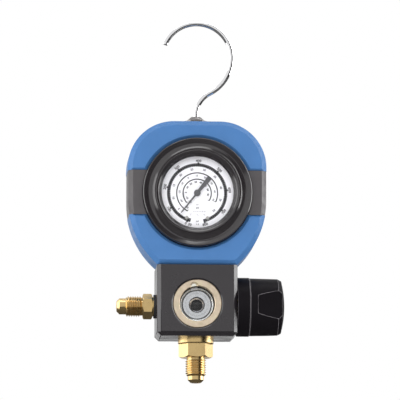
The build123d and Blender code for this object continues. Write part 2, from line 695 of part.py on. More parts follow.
def valve_piston():
    body = rod(PISTON_R, PISTON_TIP_X + 1.0, 11.0) - ring(PISTON_R + 1, 3.0, 8.0, 9.5) - rod(1.7, 7.9, 12)
    body -= rod(2.9, 0, PISTON_TIP_X + 1.9)
    return to_right(body)


def piston_seal():
    return to_right(ring(PISTON_R + 0.02, 3.02, 8.02, 9.48))


def seat_disc():
    return to_right(lathe((0, PISTON_TIP_X + 0.02), (2.6, PISTON_TIP_X + 0.02), (2.88, PISTON_TIP_X + 0.4),
                          (2.88, PISTON_TIP_X + 1.88), (0, PISTON_TIP_X + 1.88)))


def valve_stem():
    end = KNOB_FLOOR_X - 0.1
    body = rod(1.6, 8.2, 11.3) + rod(STEM_R, 11.05, KNOB_BORE_X) + flatted(2.5, KNOB_BORE_X - 0.1, end, 4.0)
    body -= rod(1.2, end - 7.5, end + 1)
    return to_right(body)


def knob():
    """Hand knob: a plain skirt, and a body with flat finger grips that deepen towards its end."""
    skirt_end = KNOB_X + KNOB_SKIRT
    body = lathe((0, KNOB_X), (KNOB_BASE_R, KNOB_X), (KNOB_BASE_R, skirt_end),
                 (KNOB_BASE_R - 0.3, skirt_end + 0.4), (KNOB_END_R, KNOB_END_X - 2.0),
                 (KNOB_RIM_R, KNOB_END_X), (0, KNOB_END_X))
    start_r, start_x = GRIP_START
    past_end = KNOB_END_X + 0.1
    grip = Polyline((start_r, start_x), (GRIP_END_R, past_end), (20, past_end), (20, start_x), close=True)
    cutter = extrude(Plane.XZ * make_face(grip), 20, both=True)
    for i in range(GRIPS):
        body -= Rot(0, 0, -90 + i * 360 / GRIPS) * cutter
    body -= rod(11.6, KNOB_X - 1, KNOB_X + 6.8)
    body -= rod(STEM_R + 0.1, KNOB_X, KNOB_BORE_X + 0.2) + flatted(2.52, KNOB_BORE_X, KNOB_FLOOR_X + 1, 4.04)
    body -= rod(KNOB_SCREW_HEAD_R + 0.2, KNOB_FLOOR_X, KNOB_END_X + 1)
    body -= rod(8.2, KNOB_END_X - 2.2, KNOB_END_X + 1)
    return to_right(body)


def flatted(radius, low, high, across):
    """A shaft with one flat."""
    return rod(radius, low, high) & Pos(0.5, 0, (low + high) / 2) * Box(across, 4 * radius, 2 * (high - low))


def knob_cap():
    """Domed end cap, snapped into the knob."""
    low = KNOB_END_X + 0.05
    dome_r = ((CAP_R - 0.1) ** 2 + CAP_RISE**2) / (2 * CAP_RISE)
    cap = lathe((0, low - 2.2), (8.15, low - 2.2), (8.15, low), (CAP_R - 0.2, low), (CAP_R - 0.1, low + 0.2),
                arc(-dome_r), (0, low + 0.2 + CAP_RISE))
    return to_right(cap - rod(3.4, low - 3, low - 0.6))


def knob_screw():
    body = rod(KNOB_SCREW_HEAD_R, KNOB_FLOOR_X + 0.02, KNOB_FLOOR_X + 2.0)
    body += rod(1.18, KNOB_FLOOR_X - 6.5, KNOB_FLOOR_X + 0.1)
    body -= Pos(0, 0, KNOB_FLOOR_X + 0.9) * extrude(RegularPolygon(1.5, 6), 3)
    return to_right(body)


PARTS = {
    "hook": hook, "hook_collar": hook_collar, "hook_retainer": hook_retainer,
    "guard_upper": guard_upper, "guard_lower": guard_lower, "carrier": carrier,
    "back_cover": back_cover, "cover_screws": cover_screws, "carrier_screws": carrier_screws,
    "gauge_case": gauge_case, "bezel": bezel, "lens": lens, "lens_gasket": lens_gasket,
    "dial": dial, "dial_screws": dial_screws, "pointer": pointer, "pinion": pinion,
    "hair_spring": hair_spring, "spring_stud": spring_stud,
    "front_plate": front_plate, "rear_plate": rear_plate, "plate_pillars": plate_pillars,
    "movement_screws": movement_screws, "sector_gear": sector_gear, "tube_link": tube_link,
    "bourdon_tube": bourdon_tube, "tube_tip": tube_tip, "gauge_socket": gauge_socket,
    "manifold_block": manifold_block, "sight_ring": sight_ring, "sight_glass": sight_glass,
    "sight_gasket": sight_gasket, "sight_cup": sight_cup,
    "side_port": side_port, "side_port_seal": side_port_seal,
    "bottom_port": bottom_port, "bottom_port_seal": bottom_port_seal,
    "valve_bonnet": valve_bonnet, "stem_packing": stem_packing, "valve_stem": valve_stem,
    "valve_piston": valve_piston, "piston_seal": piston_seal, "seat_disc": seat_disc,
    "knob": knob, "knob_cap": knob_cap, "knob_screw": knob_screw,
}


def main():
    os.makedirs("parts", exist_ok=True)
    for name, make in PARTS.items():
        made = make()
        if isinstance(made, list):
            made = Compound([s for part in made for s in part.solids()])
        export_step(made, f"parts/{name}.step")


main()
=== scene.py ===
import json
from math import atan2, cos, hypot, pi, radians, sin, sqrt

import bmesh
import bpy
from mathutils import Matrix, Vector

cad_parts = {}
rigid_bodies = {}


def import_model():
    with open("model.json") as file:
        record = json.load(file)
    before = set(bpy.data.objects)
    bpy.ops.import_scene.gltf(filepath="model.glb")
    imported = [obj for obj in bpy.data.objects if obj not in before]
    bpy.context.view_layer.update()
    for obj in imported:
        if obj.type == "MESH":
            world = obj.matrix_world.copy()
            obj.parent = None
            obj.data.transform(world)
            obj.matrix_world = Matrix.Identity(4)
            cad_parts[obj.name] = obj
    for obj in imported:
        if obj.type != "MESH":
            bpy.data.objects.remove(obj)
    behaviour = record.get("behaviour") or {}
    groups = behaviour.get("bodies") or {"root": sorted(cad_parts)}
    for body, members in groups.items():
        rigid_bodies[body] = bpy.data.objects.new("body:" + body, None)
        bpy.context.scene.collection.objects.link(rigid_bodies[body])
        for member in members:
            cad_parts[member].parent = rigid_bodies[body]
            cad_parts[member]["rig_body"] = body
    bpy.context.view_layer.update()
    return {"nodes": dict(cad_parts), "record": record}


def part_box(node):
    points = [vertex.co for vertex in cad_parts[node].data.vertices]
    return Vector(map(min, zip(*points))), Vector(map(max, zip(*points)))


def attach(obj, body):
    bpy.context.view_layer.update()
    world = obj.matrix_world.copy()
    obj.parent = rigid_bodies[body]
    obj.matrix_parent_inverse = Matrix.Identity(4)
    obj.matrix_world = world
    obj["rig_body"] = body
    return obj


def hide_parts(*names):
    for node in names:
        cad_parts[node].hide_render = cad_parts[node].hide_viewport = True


# The looks of a single-valve refrigerant manifold gauge. Sizes in this script are millimetres and
# are turned into metres as each piece is finished; +Z is up, +X the knob side, -Y the dial's face.

MM = 0.001
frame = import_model()


def low(node):
    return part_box(node)[0] / MM


def high(node):
    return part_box(node)[1] / MM


def middle(node):
    return (low(node) + high(node)) / 2


# Driving places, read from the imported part
GAUGE_Z = middle("dial").z
VALVE_Z = middle("sight_ring").z
DIAL_FRONT = -low("dial").y
BLOCK_SIDE = high("manifold_block").x
BLOCK_BOTTOM = -low("manifold_block").z

TO_FRONT = Matrix.Rotation(radians(90), 4, "X")
TO_LEFT = Matrix.Rotation(radians(-90), 4, "Y")
TO_RIGHT = Matrix.Rotation(radians(90), 4, "Y")
DOWNWARD = Matrix.Rotation(radians(180), 4, "X")
AT_GAUGE = Matrix.Translation((0, 0, GAUGE_Z)) @ TO_FRONT
AT_SIGHT = Matrix.Translation((0, 0, VALVE_Z)) @ TO_FRONT
AT_SIDE_PORT = Matrix.Translation((0, 0, VALVE_Z)) @ TO_LEFT
AT_KNOB = Matrix.Translation((0, 0, VALVE_Z)) @ TO_RIGHT


# ---------------------------------------------------------------- materials


class Tree:
    """A node tree with short calls: add() makes a node, link() joins an output to an input."""

    def __init__(self, owner):
        owner.use_nodes = True
        self.tree = owner.node_tree
        self.tree.nodes.clear()

    def add(self, kind, settings=None, **inputs):
        node = self.tree.nodes.new("ShaderNode" + kind)
        for key, value in (settings or {}).items():
            setattr(node, key, value)
        for key, value in inputs.items():
            socket = node.inputs[key.replace("_", " ")]
            if isinstance(value, bpy.types.NodeSocket):
                self.tree.links.new(value, socket)
            else:
                socket.default_value = value
        return node

    def link(self, output, socket):
        self.tree.links.new(output, socket)

    def noise(self, size_mm, detail=3.0):
        """Smooth noise whose features are about size_mm wide, from 0 to 1."""
        place = self.add("TexCoord").outputs["Object"]
        return self.add("TexNoise", Vector=place, Scale=1 / (size_mm * MM), Detail=detail).outputs["Fac"]

    def math(self, operation, first, second):
        """One step of arithmetic; either side is a number or another node's output."""
        node = self.add("Math", {"operation": operation})
        for socket, value in zip(node.inputs, (first, second)):
            if isinstance(value, bpy.types.NodeSocket):
                self.link(value, socket)
            else:
                socket.default_value = value
        return node.outputs["Value"]

    def mix(self, share, first, second):
        """Blends from the first shader to the second as share goes from 0 to 1."""
        node = self.add("MixShader", Fac=share)
        self.link(first, node.inputs[1])
        self.link(second, node.inputs[2])
        return node.outputs["Shader"]

    def spread(self, value, centre, amount):
        """Turns noise into a number about a centre."""
        node = self.add("MapRange", Value=value, From_Min=0.3, From_Max=0.7)
        node.inputs["To Min"].default_value = centre - amount
        node.inputs["To Max"].default_value = centre + amount
        return node.outputs["Result"]

    def ramp(self, value, *stops):
        """A colour ramp through (position, colour) stops."""
        node = self.add("ValToRGB", Fac=value)
        elements = node.color_ramp.elements
        while len(elements) < len(stops):
            elements.new(1.0)
        for element, (position, colour) in zip(elements, stops):
            element.position = position
            element.color = (*colour, 1.0)
        return node.outputs["Color"]


def linear(r, g, b):
    """A colour given as 0..255 screen values, as the renderer's linear light."""
    return tuple((v / 255 / 12.92) if v < 10.3 else ((v / 255 + 0.055) / 1.055) ** 2.4 for v in (r, g, b))


def shade(colour, factor):
    return tuple(min(1.0, v * factor) for v in colour)


GLOSS_SPREAD = 0.25  # how far the roughness wanders, as a share of itself
GLASS_IOR = 1.45
TURNING_PITCH = 0.35
TURNED_MOTTLE = 4.0
WAVE_PERIOD = 0.314  # distance between two crests of the wave node at a scale of 1


def opaque(name, colour, roughness, pattern, bump, mottle, mottle_size, metal, specular, stain=None):
    """A finish with mottled colour, uneven gloss and a relief, bump mm high, that pattern(tree) draws."""
    material = bpy.data.materials.new(name)
    t = Tree(material)
    stops = [(0.3, shade(colour, 1 - mottle)), (0.7, shade(colour, 1 + mottle))]
    if stain:
        stops.insert(1, (0.5, stain))
    tint = t.ramp(t.noise(mottle_size), *stops)
    gloss = t.spread(t.noise(mottle_size / 3, 4.0), roughness, roughness * GLOSS_SPREAD)
    relief = t.add("Bump", Height=pattern(t), Strength=1.0, Distance=bump * MM).outputs["Normal"]
    shader = t.add("BsdfPrincipled", Base_Color=tint, Roughness=gloss, Normal=relief, Metallic=metal,
                   Specular_IOR_Level=specular)
    t.add("OutputMaterial", Surface=shader.outputs["BSDF"])
    return material


def solid(name, colour, roughness, metal=0.0, mottle=0.08, mottle_size=9.0, grain=0.35, bump=0.02,
          specular=0.5):
    """A moulded, painted, plated or machined finish with a fine grain."""
    def fine_grain(t):
        return t.noise(grain, 2.0)

    return opaque(name, colour, roughness, fine_grain, bump, mottle, mottle_size, metal, specular)


def turned(name, colour, roughness, bump=0.004, mottle=0.08, stain=None):
    """A lathe-turned metal: fine rings about the axis of the sight glass."""
    def rings(t):
        place = t.add("TexCoord").outputs["Object"]
        about = t.add("Mapping", Vector=place, Location=(0, 0, -VALVE_Z * MM)).outputs["Vector"]
        return t.add("TexWave", {"wave_type": "RINGS", "rings_direction": "Y"}, Vector=about,
                     Scale=WAVE_PERIOD / (TURNING_PITCH * MM), Distortion=0.6, Detail=2.0,
                     Detail_Scale=3.0).outputs["Fac"]

    return opaque(name, colour, roughness, rings, bump, mottle, TURNED_MOTTLE, metal=1.0, specular=0.5,
                  stain=stain)


def clear(name, tint):
    """Glass seen through: light goes straight in, and a clean surface reflects a little on its outside."""
    material = bpy.data.materials.new(name)
    t = Tree(material)
    smudge = t.spread(t.noise(6.0, 4.0), 0.03, 0.02)
    through = t.add("BsdfTransparent", Color=t.ramp(t.noise(12.0), (0.3, shade(tint, 0.985)), (0.7, tint)))
    mirror = t.add("BsdfGlossy", Roughness=smudge, Color=(1, 1, 1, 1))
    outside = t.math("SUBTRACT", 1.0, t.add("NewGeometry").outputs["Backfacing"])
    share = t.math("MULTIPLY", t.add("Fresnel", IOR=GLASS_IOR).outputs["Fac"], outside)
    t.add("OutputMaterial", Surface=t.mix(share, through.outputs["BSDF"], mirror.outputs["BSDF"]))
    return material


BRASS = (0.69, 0.50, 0.23)
FINISHES = {
    "hook_chrome": solid("chrome", (0.93, 0.93, 0.94), 0.04, metal=1.0, mottle=0.02, bump=0.0005),
    "collar_steel": solid("dark_plated_steel", (0.20, 0.19, 0.19), 0.28, metal=1.0, bump=0.004),
    "guard_blue": solid("blue_moulding", linear(68, 114, 168), 0.42, mottle=0.03, bump=0.006, specular=0.25),
    "carrier_black": solid("black_moulding", linear(72, 69, 71), 0.45, mottle=0.05, bump=0.008),
    "fastener_zinc": solid("zinc_plate", (0.62, 0.61, 0.58), 0.30, metal=1.0, mottle=0.1, mottle_size=2.0),
    "case_steel": solid("black_enamel", (0.03, 0.03, 0.032), 0.30),
    "bezel_black": solid("glossy_black", linear(40, 37, 39), 0.15, mottle=0.05, bump=0.002, specular=0.9),
    "lens_clear": clear("lens_glass", (0.995, 0.995, 1.0)),
    "seal_rubber": solid("black_rubber", (0.022, 0.022, 0.023), 0.65, bump=0.01),
    "dial_white": solid("white_enamel", linear(250, 249, 252), 0.35, mottle=0.012, bump=0.002),
    "pointer_grey": solid("grey_enamel", linear(82, 82, 84), 0.42, mottle=0.05, bump=0.003),
    "movement_brass": solid("machined_brass", (0.78, 0.60, 0.30), 0.25, metal=1.0, bump=0.003),
    "tube_bronze": solid("drawn_bronze", (0.70, 0.46, 0.26), 0.30, metal=1.0, bump=0.003),
    "socket_brass": solid("socket_brass_turned", BRASS, 0.28, metal=1.0, bump=0.003),
    "block_black": solid("black_anodised", linear(36, 33, 36), 0.24, mottle=0.03, mottle_size=30, grain=0.6,
                         bump=0.0003, specular=0.65),
    "port_brass": solid("port_brass_turned", BRASS, 0.24, metal=1.0, grain=1.5, bump=0.0003, mottle=0.04),
    "ring_brass": turned("pale_brass_ring", (0.95, 0.81, 0.58), 0.4, stain=(0.96, 0.80, 0.62)),
    "sight_glass": clear("sight_glass_clear", (0.985, 0.988, 0.99)),
    "cup_steel": turned("bright_turned_steel", (0.76, 0.77, 0.79), 0.28, bump=0.0012, mottle=0.03),
    "stem_steel": solid("ground_steel", (0.62, 0.62, 0.63), 0.22, metal=1.0, bump=0.002),
    "packing_white": solid("white_seal_plastic", (0.82, 0.82, 0.79), 0.45, mottle=0.03),
    "knob_black": solid("satin_black_grip", linear(20, 18, 21), 0.42, mottle=0.06, bump=0.003, specular=0.05),
}
# The cup's rim: a real polish in its low roughness, and a painted highlight in its lighter, greener colour
# than the cup's steel.
RIM_POLISH_AND_PAINTED_HIGHLIGHT = turned("polished_rim_painted_highlight", (0.93, 0.96, 0.93), 0.12, bump=0.001)
DEEP_STEEL = turned("shadowed_steel", (0.75, 0.75, 0.78), 0.15, bump=0.001)
# Painted shade: the groove in the cup's dish is coloured near black to show the shade that falls in it.
GROOVE_PAINTED_SHADE = turned("groove_painted_shade", (0.12, 0.12, 0.12), 0.3, bump=0.001)
PALE_PIN = turned("pale_pin", (1.0, 0.95, 0.84), 0.2)
# Painted highlight: the knob's rounded edges are coloured much lighter than the grip to show the light they
# catch.
EDGE_PAINTED_HIGHLIGHT = {"knob": solid("grip_edge_painted_highlight", linear(140, 136, 140), 0.35, mottle=0.15, mottle_size=3.0,
                           specular=0.6)}
INK = solid("printed_black", linear(22, 20, 28), 0.5, mottle=0.1, mottle_size=3.0)
GREY_INK = solid("printed_grey", linear(95, 93, 100), 0.5, mottle=0.1, mottle_size=3.0)

SLOT_OF = {part["node"]: part["material_slot"] for part in frame["record"]["subparts"]}


# ---------------------------------------------------------------- building


def piece(name, shape, body, slot_name, place=None, stands_for=(), material=None, crease=32):
    """Turns a bmesh in millimetres into a finished piece on its body."""
    if place:
        bmesh.ops.transform(shape, matrix=place, verts=shape.verts)
    bmesh.ops.scale(shape, vec=(MM, MM, MM), verts=shape.verts)
    bmesh.ops.recalc_face_normals(shape, faces=shape.faces)
    for face in shape.faces:
        face.smooth = True
    for edge in shape.edges:
        edge.smooth = len(edge.link_faces) == 2 and edge.calc_face_angle(pi) < radians(crease)
    mesh = bpy.data.meshes.new(name)
    shape.to_mesh(mesh)
    shape.free()
    stored_normals = mesh.attributes.get("custom_normal")
    if stored_normals:
        mesh.attributes.remove(stored_normals)
    mesh.materials.append(material or FINISHES[slot_name])
    thing = bpy.data.objects.new(name, mesh)
    bpy.context.scene.collection.objects.link(thing)
    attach(thing, body)
    if stands_for:
        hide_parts(*stands_for)
    return thing


def parts_of(geometry, *kinds):
    return [g for g in geometry if isinstance(g, kinds)]


def everything(shape):
    return shape.verts[:] + shape.edges[:] + shape.faces[:]


def merged_copy(node):
    """A CAD node's shape in millimetres, with its loose triangles joined into whole faces."""
    shape = bmesh.new()
    shape.from_mesh(frame["nodes"][node].data)
    bmesh.ops.scale(shape, vec=(1 / MM,) * 3, verts=shape.verts)
    bmesh.ops.remove_doubles(shape, verts=shape.verts, dist=0.002)
    bmesh.ops.dissolve_limit(shape, angle_limit=radians(0.4), verts=shape.verts, edges=shape.edges)
    return shape


def mark_crisp_edges(shape, longer_than, sharper_than):
    """Notes which edges are to be rounded: the crisp ones, leaving out any that are shorter than asked."""
    weight = shape.edges.layers.float.new("bevel_weight_edge")
    for edge in shape.edges:
        crisp = len(edge.link_faces) == 2 and edge.calc_face_angle(0) > radians(sharper_than)
        edge[weight] = 1.0 if crisp and edge.calc_length() > longer_than else 0.0


def round_edges(thing, radius, edge_highlight_paint=None):
    """Rounds the marked edges; they may take a lighter finish of their own, a painted highlight along the
    rounds.
    """
    bevel = thing.modifiers.new("rounded_edges", "BEVEL")
    if edge_highlight_paint:
        thing.data.materials.append(edge_highlight_paint)
        bevel.material = 1
    bevel.limit_method = "WEIGHT"
    bevel.width = radius * MM
    bevel.segments = 2
    bevel.harden_normals = True


def arc_between(start, end, radius, count=8):
    """Points along an arc between two profile points; a positive radius bends to the left of the way."""
    (x0, z0), (x1, z1) = start, end
    half = hypot(x1 - x0, z1 - z0) / 2
    rise = sqrt(radius**2 - half**2) * (1 if radius > 0 else -1)
    cx = (x0 + x1) / 2 - rise * (z1 - z0) / (2 * half)
    cz = (z0 + z1) / 2 + rise * (x1 - x0) / (2 * half)
    first, last = atan2(z0 - cz, x0 - cx), atan2(z1 - cz, x1 - cx)
    sweep = (last - first + pi) % (2 * pi) - pi
    angles = [first + sweep * i / count for i in range(count + 1)]
    return [(cx + abs(radius) * cos(angle), cz + abs(radius) * sin(angle)) for angle in angles]


def spun(points, rounding=0.0, steps=96):
    """Turns a closed profile of (radius, height) points about Z, with its corners rounded."""
    shape = bmesh.new()
    profile = shape.faces.new([shape.verts.new((x, 0, z)) for x, z in points])
    if rounding:
        corners = [v for v in profile.verts if v.co.x > rounding]
        bmesh.ops.bevel(shape, geom=corners, offset=rounding, offset_type="OFFSET", affect="VERTICES",
                        segments=3, profile=0.5, material=-1, clamp_overlap=True)
    bmesh.ops.delete(shape, geom=shape.faces[:], context="FACES_ONLY")
    bmesh.ops.spin(shape, geom=shape.verts[:] + shape.edges[:], cent=(0, 0, 0), axis=(0, 0, 1), angle=2 * pi,
                   steps=steps, use_merge=True)
    bmesh.ops.remove_doubles(shape, verts=shape.verts, dist=0.001)
    return shape


def add_to(shape, other):
    """Moves another shape's mesh into this one."""
    mesh = bpy.data.meshes.new("part_of_shape")
    other.to_mesh(mesh)
    other.free()
    shape.from_mesh(mesh)
    bpy.data.meshes.remove(mesh)


# ---------------------------------------------------------------- hook


WIRE_R = 1.5
CROOK_X, CROOK_R = 0.6, 18.75
SWEEP_R, NECK_R = 21.9, 14.0
TIP_ANGLE = 158.8
CROOK_Z = WIRE_R - CROOK_R
SWEEP_X = CROOK_X + CROOK_R - SWEEP_R


def hook_wire():
    """Round wire: a straight stem, a reverse bend, a wide sweep and the crown, one after the other."""
    neck_z = CROOK_Z - sqrt((SWEEP_R + NECK_R) ** 2 - (NECK_R - SWEEP_X) ** 2)
    lean = atan2(CROOK_Z - neck_z, NECK_R - SWEEP_X)
    foot_z = low("hook").z
    shape = bmesh.new()
    foot = bmesh.ops.create_circle(shape, cap_ends=True, radius=WIRE_R, segments=32,
                                   matrix=Matrix.Translation((0, 0, foot_z)))["verts"]
    rim = list({e for v in foot for e in v.link_edges})
    end = bmesh.ops.extrude_edge_only(shape, edges=rim)["geom"]
    end = parts_of(end, bmesh.types.BMVert, bmesh.types.BMEdge)
    bmesh.ops.translate(shape, vec=(0, 0, neck_z - foot_z), verts=parts_of(end, bmesh.types.BMVert))
    bends = (((NECK_R, 0, neck_z), -lean, 20), ((SWEEP_X, 0, CROOK_Z), lean, 24),
             ((CROOK_X, 0, CROOK_Z), radians(TIP_ANGLE), 60))
    for centre, angle, steps in bends:
        made = bmesh.ops.spin(shape, geom=end, cent=centre, axis=(0, -1, 0), angle=angle, steps=steps,
                              use_merge=False)
        end = parts_of(made["geom_last"], bmesh.types.BMVert, bmesh.types.BMEdge)
    cap = bmesh.ops.contextual_create(shape, geom=parts_of(end, bmesh.types.BMEdge))["faces"]
    bmesh.ops.bevel(shape, geom=cap[0].edges[:], offset=0.3, offset_type="OFFSET", affect="EDGES", segments=2,
                    profile=0.5, material=-1)
    return shape


def make_hook():
    piece("hook_wire", hook_wire(), "hook", "hook_chrome", stands_for=("hook",), crease=40)


# ---------------------------------------------------------------- shell and plain machined pieces


# Edge radius, the shortest edge that is rounded, and the bend in degrees past which an edge is crisp
ROUNDED = {"hook_collar": (0.2, 0.0, 32), "manifold_block": (0.25, 6.0, 32), "sight_ring": (0.12, 0.0, 32),
           "knob": (0.5, 0.0, 14), "pointer": (0.1, 0.0, 32)}


def make_rounded_copies():
    """The moulded and machined pieces, with the small edge radii that catch the light."""
    for node, (radius, shortest, bend) in ROUNDED.items():
        body = frame["nodes"][node]["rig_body"]
        shape = merged_copy(node)
        mark_crisp_edges(shape, shortest, bend)
        thing = piece(node + "_rounded", shape, body, SLOT_OF[node], stands_for=(node,))
        # The knob's edge rounds take the lighter finish, a painted highlight.
        round_edges(thing, radius, EDGE_PAINTED_HIGHLIGHT.get(node))


def paint_cad_nodes():
    for node, thing in frame["nodes"].items():
        for place in range(len(thing.material_slots)):
            thing.material_slots[place].material = FINISHES[SLOT_OF[node]]


# ---------------------------------------------------------------- bezel


WINDOW_R, WINDOW_EDGE = 19.3, 17.0
RIM_SIDE, RIM_FRONT, RIM_CHAMFER = 18.2, 18.8, 0.5
HOLLOW_EDGE, CREST, CREST_INSIDE = (26.4, 17.2), (22.4, 19.8), (20.3, 18.2)  # radius and height
HOLLOW_R, CREST_ROLL_R = 5.2, 3.4
CASE_SEAT_R, CASE_SEAT = 26.85, 13.05
LENS_GAP = 0.3


def make_bezel():
    """Glossy bezel: a crisp outer rim, a broad hollow, a rolled crest and a step down to the glass."""
    outer, back = high("bezel").x, -high("bezel").y
    glass_r, glass_front = high("lens").x + LENS_GAP, -low("lens").y
    hollow = arc_between(HOLLOW_EDGE, CREST, -HOLLOW_R, 12)
    roll = arc_between(CREST, CREST_INSIDE, CREST_ROLL_R, 8)[1:]
    profile = [(CASE_SEAT_R, back), (outer, back), (outer, RIM_SIDE), (outer - RIM_CHAMFER, RIM_FRONT)]
    profile += hollow + roll
    profile += [(WINDOW_R, WINDOW_EDGE), (WINDOW_R, glass_front), (glass_r, glass_front),
                (glass_r, CASE_SEAT), (CASE_SEAT_R, CASE_SEAT)]
    piece("bezel_ring", spun(profile, rounding=0.18, steps=144), "body", "bezel_black", AT_GAUGE,
          stands_for=("bezel",), crease=50)


# ---------------------------------------------------------------- dial print


PRINT_FRONT = DIAL_FRONT + 0.03
# Angles on the dial are degrees clockwise from straight down
SCALE_START, SCALE_END, FULL_SCALE = 19.4, 345.6, 800
VACUUM_START, VACUUM_STEP = 14.0, 1.35
SCALE_RINGS = ((16.0, 0.4), (15.3, 0.7))  # radius and line width
TICK_INSIDE, TICK_OUTSIDE, LONG_TICK_OUTSIDE = 14.45, 16.1, 16.7
FINE_WIDTH, FIFTY_WIDTH, HUNDRED_WIDTH = 0.85, 0.95, 1.0
NUMBER_SIZE, NUMBER_R, END_NUMBER_R = 2.0, 17.5, 17.6
MIDDLE_ARC, INNER_ARC = (11.0, 28.0, 295.5), (7.6, 46.8, 302.4)  # radius, and where it starts and ends
ARC_WIDTH, END_TICK, END_TICK_WIDTH = 0.6, 0.9, 0.3
INNER_NUMBERS = ("-30", "-10", "0", "10", "20", "30", "40", "50", "60", "70")
BOLD = 0.06  # how far heavy figures are thickened


def on_dial(radius, angle):
    """A point on the dial's face; angles run clockwise from straight down."""
    return Vector((-radius * sin(radians(angle)), -radius * cos(radians(angle)), PRINT_FRONT))


def dial_arc(shape, radius, width, start, end, step=3.0):
    """A printed arc, spun from a short radial line."""
    a, b = (shape.verts.new(on_dial(radius + side * width / 2, start)) for side in (-1, 1))
    line = shape.edges.new((a, b))
    bmesh.ops.spin(shape, geom=[a, b, line], cent=(0, 0, 0), axis=(0, 0, -1), angle=radians(end - start),
                   steps=max(2, int((end - start) / step)), use_merge=False)


def dial_tick(shape, inner, outer, width, angle):
    """A printed tick, as a unit grid scaled and turned into place."""
    made = bmesh.ops.create_grid(shape, x_segments=1, y_segments=1, size=0.5)["verts"]
    bmesh.ops.scale(shape, vec=(width, outer - inner, 1), verts=made)
    turn = Matrix.Rotation(-radians(angle), 4, "Z")
    bmesh.ops.translate(shape, vec=(0, -(inner + outer) / 2, PRINT_FRONT), verts=made)
    bmesh.ops.transform(shape, matrix=turn, verts=made)


def lettering(shape, words, size, place, turn=0.0, weight=0.0):
    """Flat text laid on the dial, centred on place."""
    curve = bpy.data.curves.new("text_outline", "FONT")
    curve.body = words
    curve.size = size
    curve.offset = weight
    curve.align_x = "CENTER"
    curve.align_y = "CENTER"
    curve.resolution_u = 2
    holder = bpy.data.objects.new("text_outline", curve)
    bpy.context.scene.collection.objects.link(holder)
    mesh = holder.to_mesh()
    mesh.transform(Matrix.Translation(place) @ Matrix.Rotation(turn, 4, "Z"))
    shape.from_mesh(mesh)
    holder.to_mesh_clear()
    bpy.data.objects.remove(holder)
    bpy.data.curves.remove(curve)


def round_lettering(shape, words, size, radius, angle, weight=0.0):
    """A number that follows the dial's round and stays readable in the lower half."""
    in_upper_half = 90 < angle % 360 < 270
    turn = radians(180 - angle) if in_upper_half else radians(-angle)
    lettering(shape, words, size, on_dial(radius, angle), turn, weight)


def number_ring(shape, numbers, size, radius, start, step, weight):
    """Numbers at even steps round the dial."""
    for k, words in enumerate(numbers):
        round_lettering(shape, words, size, radius, start + step * k, weight)


def main_scale():
    """Pressure ring: 0 to 800 with a tick every 10, numbered by hundreds, and a short vacuum stretch."""
    shape = bmesh.new()
    per_unit = (SCALE_END - SCALE_START) / FULL_SCALE
    for radius, width in SCALE_RINGS:
        dial_arc(shape, radius, width, VACUUM_START, SCALE_END)
    for mark in range(0, FULL_SCALE + 1, 10):
        width = HUNDRED_WIDTH if mark % 100 == 0 else FIFTY_WIDTH if mark % 50 == 0 else FINE_WIDTH
        outside = LONG_TICK_OUTSIDE if mark % 100 == 0 else TICK_OUTSIDE
        dial_tick(shape, TICK_INSIDE, outside, width, SCALE_START + mark * per_unit)
    for k in range(4):
        dial_tick(shape, inner=14.15, outer=15.9, width=0.3, angle=VACUUM_START + k * VACUUM_STEP)
    for mark in range(100, FULL_SCALE + 1, 100):
        round_lettering(shape, str(mark), NUMBER_SIZE, NUMBER_R, SCALE_START + mark * per_unit, weight=BOLD)
    for words, angle in (("0", 20.5), ("30", 13.2)):
        lettering(shape, words, NUMBER_SIZE, on_dial(END_NUMBER_R, angle), radians(-angle), weight=BOLD)
    return shape


def inner_scales():
    """Two plain arcs with end ticks, the numbers and fine ticks of the inner one, and small words below."""
    shape = bmesh.new()
    for radius, start, end in (MIDDLE_ARC, INNER_ARC):
        dial_arc(shape, radius, ARC_WIDTH, start, end)
    for radius, *ends in (MIDDLE_ARC, INNER_ARC):
        for angle in ends:
            dial_tick(shape, radius - END_TICK, radius, END_TICK_WIDTH, angle)
    number_ring(shape, INNER_NUMBERS, size=1.45, radius=6.0, start=40, step=26.5, weight=BOLD)
    for k in range(9):
        dial_tick(shape, inner=6.9, outer=INNER_ARC[0], width=0.14, angle=62.0 + 4.0 * k)
    for words, size, x, y, weight in (("psi", 1.5, 0.2, -7.9, 0.03), ("psi", 1.4, 0.1, -15.2, 0.02),
                                      ("1.6", 1.4, 0.1, -16.9, 0.02)):
        lettering(shape, words, size, (x, y, PRINT_FRONT), weight=weight)
    return shape


def grey_scales():
    """The lighter print: a bar scale by fives, the numbers of the middle arc, and the other units."""
    shape = bmesh.new()
    fives = [str(n) for n in range(5, 55, 5)]
    tens = [str(n) for n in range(-40, 60, 10)]
    number_ring(shape, fives, size=1.6, radius=13.1, start=48.7, step=29.7, weight=BOLD)
    number_ring(shape, tens, size=1.4, radius=9.45, start=36, step=28.5, weight=0.04)
    lettering(shape, "bar", 1.2, (0.2, -6.2, PRINT_FRONT))
    lettering(shape, "0 5 10 15 20 25", 1.05, (1.3, -10.0, PRINT_FRONT))
    for x in (-3.6, 0.1, 3.8):
        lettering(shape, "°C", 1.3, (x, -11.7, PRINT_FRONT))
    return shape


def make_dial_print():
    piece("scale_print", main_scale(), "body", "pointer_grey", AT_GAUGE, material=INK)
    piece("inner_scale_print", inner_scales(), "body", "pointer_grey", AT_GAUGE, material=INK)
    piece("grey_scale_print", grey_scales(), "body", "pointer_grey", AT_GAUGE, material=GREY_INK)


# ---------------------------------------------------------------- sight glass


